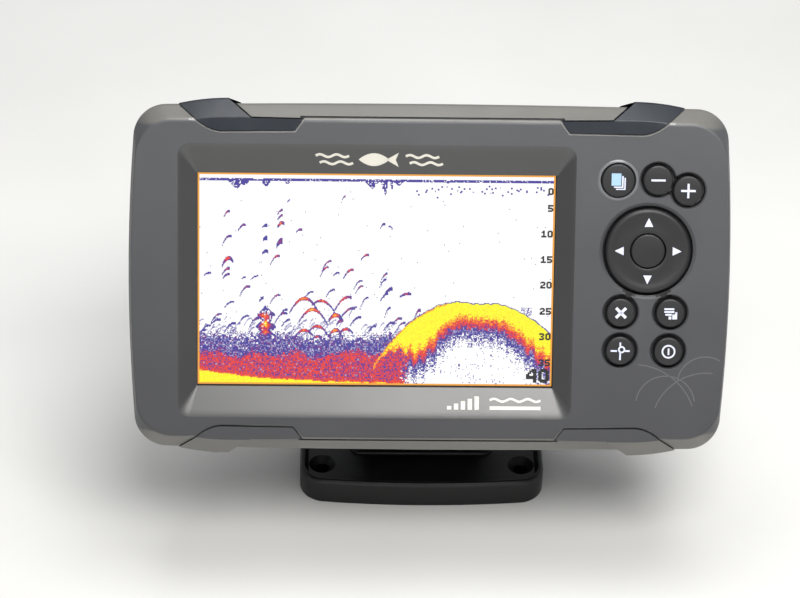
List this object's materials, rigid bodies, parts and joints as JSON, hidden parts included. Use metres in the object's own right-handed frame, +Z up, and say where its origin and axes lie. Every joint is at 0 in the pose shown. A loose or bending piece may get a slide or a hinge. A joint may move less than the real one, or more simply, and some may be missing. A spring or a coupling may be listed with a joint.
{
  "type": "fish finder",
  "caption": "Compact sonar display with a keypad beside its screen, on a tilting quick-release bracket with a flat screw-down base.",
  "frame": {"origin": "centre of the underside of the bracket base", "axes": "+Z up from the mounting surface, -Y towards the user, +X to the user's right along the tilt pivot"},
  "size_m": [0.1826, 0.101, 0.1402],
  "materials": {
    "bezel_plastic": "fine texture",
    "clip_plastic": "fine texture",
    "cover_plastic": "fine texture",
    "bracket_plastic": "fine texture",
    "key_plastic": "satin",
    "guide_plastic": "plain",
    "window_glass": "clear",
    "display": "lit picture",
    "seal_rubber": "plain",
    "steel": "plain",
    "tin_plate": "satin",
    "board": "solder mask",
    "ribbon": "film",
    "ceramic_patch": "ceramic",
    "black_plastic": "plain",
    "gold_pins": "plated",
    "washer_polymer": "plain"
  },
  "bodies": {
    "base": {"bracket_base": "bracket_plastic", "pivot_bolt": "steel", "pivot_nut": "steel", "friction_washers": "washer_polymer"},
    "shoe": {"tilt_shoe": "bracket_plastic", "catch_spring": "steel", "catch_screw": "steel"},
    "release": {"release_button": "bracket_plastic"},
    "unit": {"front_bezel": "bezel_plastic", "corner_clip_top_left": "clip_plastic", "corner_clip_top_right": "clip_plastic", "corner_clip_bottom_left": "clip_plastic", "corner_clip_bottom_right": "clip_plastic", "rear_cover": "cover_plastic", "case_seal": "seal_rubber", "case_screws": "steel", "display_window": "window_glass", "window_gasket": "seal_rubber", "lcd_panel": "display", "chassis_plate": "tin_plate", "main_board": "board", "board_screws": "steel", "processor_shield": "tin_plate", "gps_antenna": "ceramic_patch", "buzzer": "black_plastic", "card_socket": "tin_plate", "door_pin": "steel", "key_guide": "guide_plastic", "keypad_mat": "seal_rubber", "keypad_board": "board", "dome_switches": "steel", "keypad_ribbon": "ribbon", "lcd_ribbon": "ribbon", "power_socket": "black_plastic", "power_pins": "gold_pins", "sonar_socket": "black_plastic", "sonar_pins": "gold_pins", "socket_seals": "seal_rubber"},
    "door": {"card_door": "cover_plastic"},
    "pages_key": {"pages_button": "key_plastic"},
    "zoom_out_key": {"zoom_out_button": "key_plastic"},
    "zoom_in_key": {"zoom_in_button": "key_plastic"},
    "enter_key": {"enter_button": "key_plastic"},
    "exit_key": {"exit_button": "key_plastic"},
    "menu_key": {"menu_button": "key_plastic"},
    "waypoint_key": {"waypoint_button": "key_plastic"},
    "power_key": {"power_button": "key_plastic"},
    "rocker": {"cursor_rocker": "guide_plastic"},
    "pad": {"cursor_pad": "key_plastic"}
  },
  "joints": [
    {"name": "bracket_tilt", "type": "hinge", "parent": "base", "child": "shoe", "pos_m": [0, -0.0045, 0.025], "axis": [-1, 0, 0], "range_deg": [-30, 20], "stiffness_Nm_per_rad": 2},
    {"name": "unit_lift", "type": "slide", "parent": "shoe", "child": "unit", "axis": [0, 0.5, 0.866], "range_m": [0, 0.035], "deforming": ["catch_spring"]},
    {"name": "release_press", "type": "slide", "parent": "shoe", "child": "release", "axis": [0, -0.5, -0.866], "range_m": [0, 0.003], "stiffness_N_per_m": 60, "springref_m": -0.001, "deforming": ["catch_spring"]},
    {"name": "card_door_hinge", "type": "hinge", "parent": "unit", "child": "door", "pos_m": [0.0812, -0.01097, 0.0792], "axis": [0, -0.5, -0.866], "range_deg": [0, 95]},
    {"name": "pages_press", "type": "slide", "parent": "unit", "child": "pages_key", "axis": [0, 0.866, -0.5], "range_m": [0, 0.0008], "stiffness_N_per_m": 60, "springref_m": -0.0005, "deforming": ["keypad_mat"]},
    {"name": "zoom_out_press", "type": "slide", "parent": "unit", "child": "zoom_out_key", "axis": [0, 0.866, -0.5], "range_m": [0, 0.0008], "stiffness_N_per_m": 60, "springref_m": -0.0005, "deforming": ["keypad_mat"]},
    {"name": "zoom_in_press", "type": "slide", "parent": "unit", "child": "zoom_in_key", "axis": [0, 0.866, -0.5], "range_m": [0, 0.0008], "stiffness_N_per_m": 60, "springref_m": -0.0005, "deforming": ["keypad_mat"]},
    {"name": "enter_press", "type": "slide", "parent": "unit", "child": "enter_key", "axis": [0, 0.866, -0.5], "range_m": [0, 0.0008], "stiffness_N_per_m": 60, "springref_m": -0.0005, "deforming": ["keypad_mat"]},
    {"name": "exit_press", "type": "slide", "parent": "unit", "child": "exit_key", "axis": [0, 0.866, -0.5], "range_m": [0, 0.0008], "stiffness_N_per_m": 60, "springref_m": -0.0005, "deforming": ["keypad_mat"]},
    {"name": "menu_press", "type": "slide", "parent": "unit", "child": "menu_key", "axis": [0, 0.866, -0.5], "range_m": [0, 0.0008], "stiffness_N_per_m": 60, "springref_m": -0.0005, "deforming": ["keypad_mat"]},
    {"name": "waypoint_press", "type": "slide", "parent": "unit", "child": "waypoint_key", "axis": [0, 0.866, -0.5], "range_m": [0, 0.0008], "stiffness_N_per_m": 60, "springref_m": -0.0005, "deforming": ["keypad_mat"]},
    {"name": "power_press", "type": "slide", "parent": "unit", "child": "power_key", "axis": [0, 0.866, -0.5], "range_m": [0, 0.0008], "stiffness_N_per_m": 60, "springref_m": -0.0005, "deforming": ["keypad_mat"]},
    {"name": "cursor_up_down", "type": "hinge", "parent": "unit", "child": "rocker", "pos_m": [0.0655, -0.03165, 0.10257], "axis": [1, 0, 0], "range_deg": [-2, 2], "stiffness_Nm_per_rad": 0.02, "deforming": ["keypad_mat"]},
    {"name": "cursor_left_right", "type": "hinge", "parent": "rocker", "child": "pad", "pos_m": [0.0655, -0.03165, 0.10257], "axis": [0, 0.5, 0.866], "range_deg": [-2, 2], "stiffness_Nm_per_rad": 0.02, "deforming": ["keypad_mat"]}
  ]
}
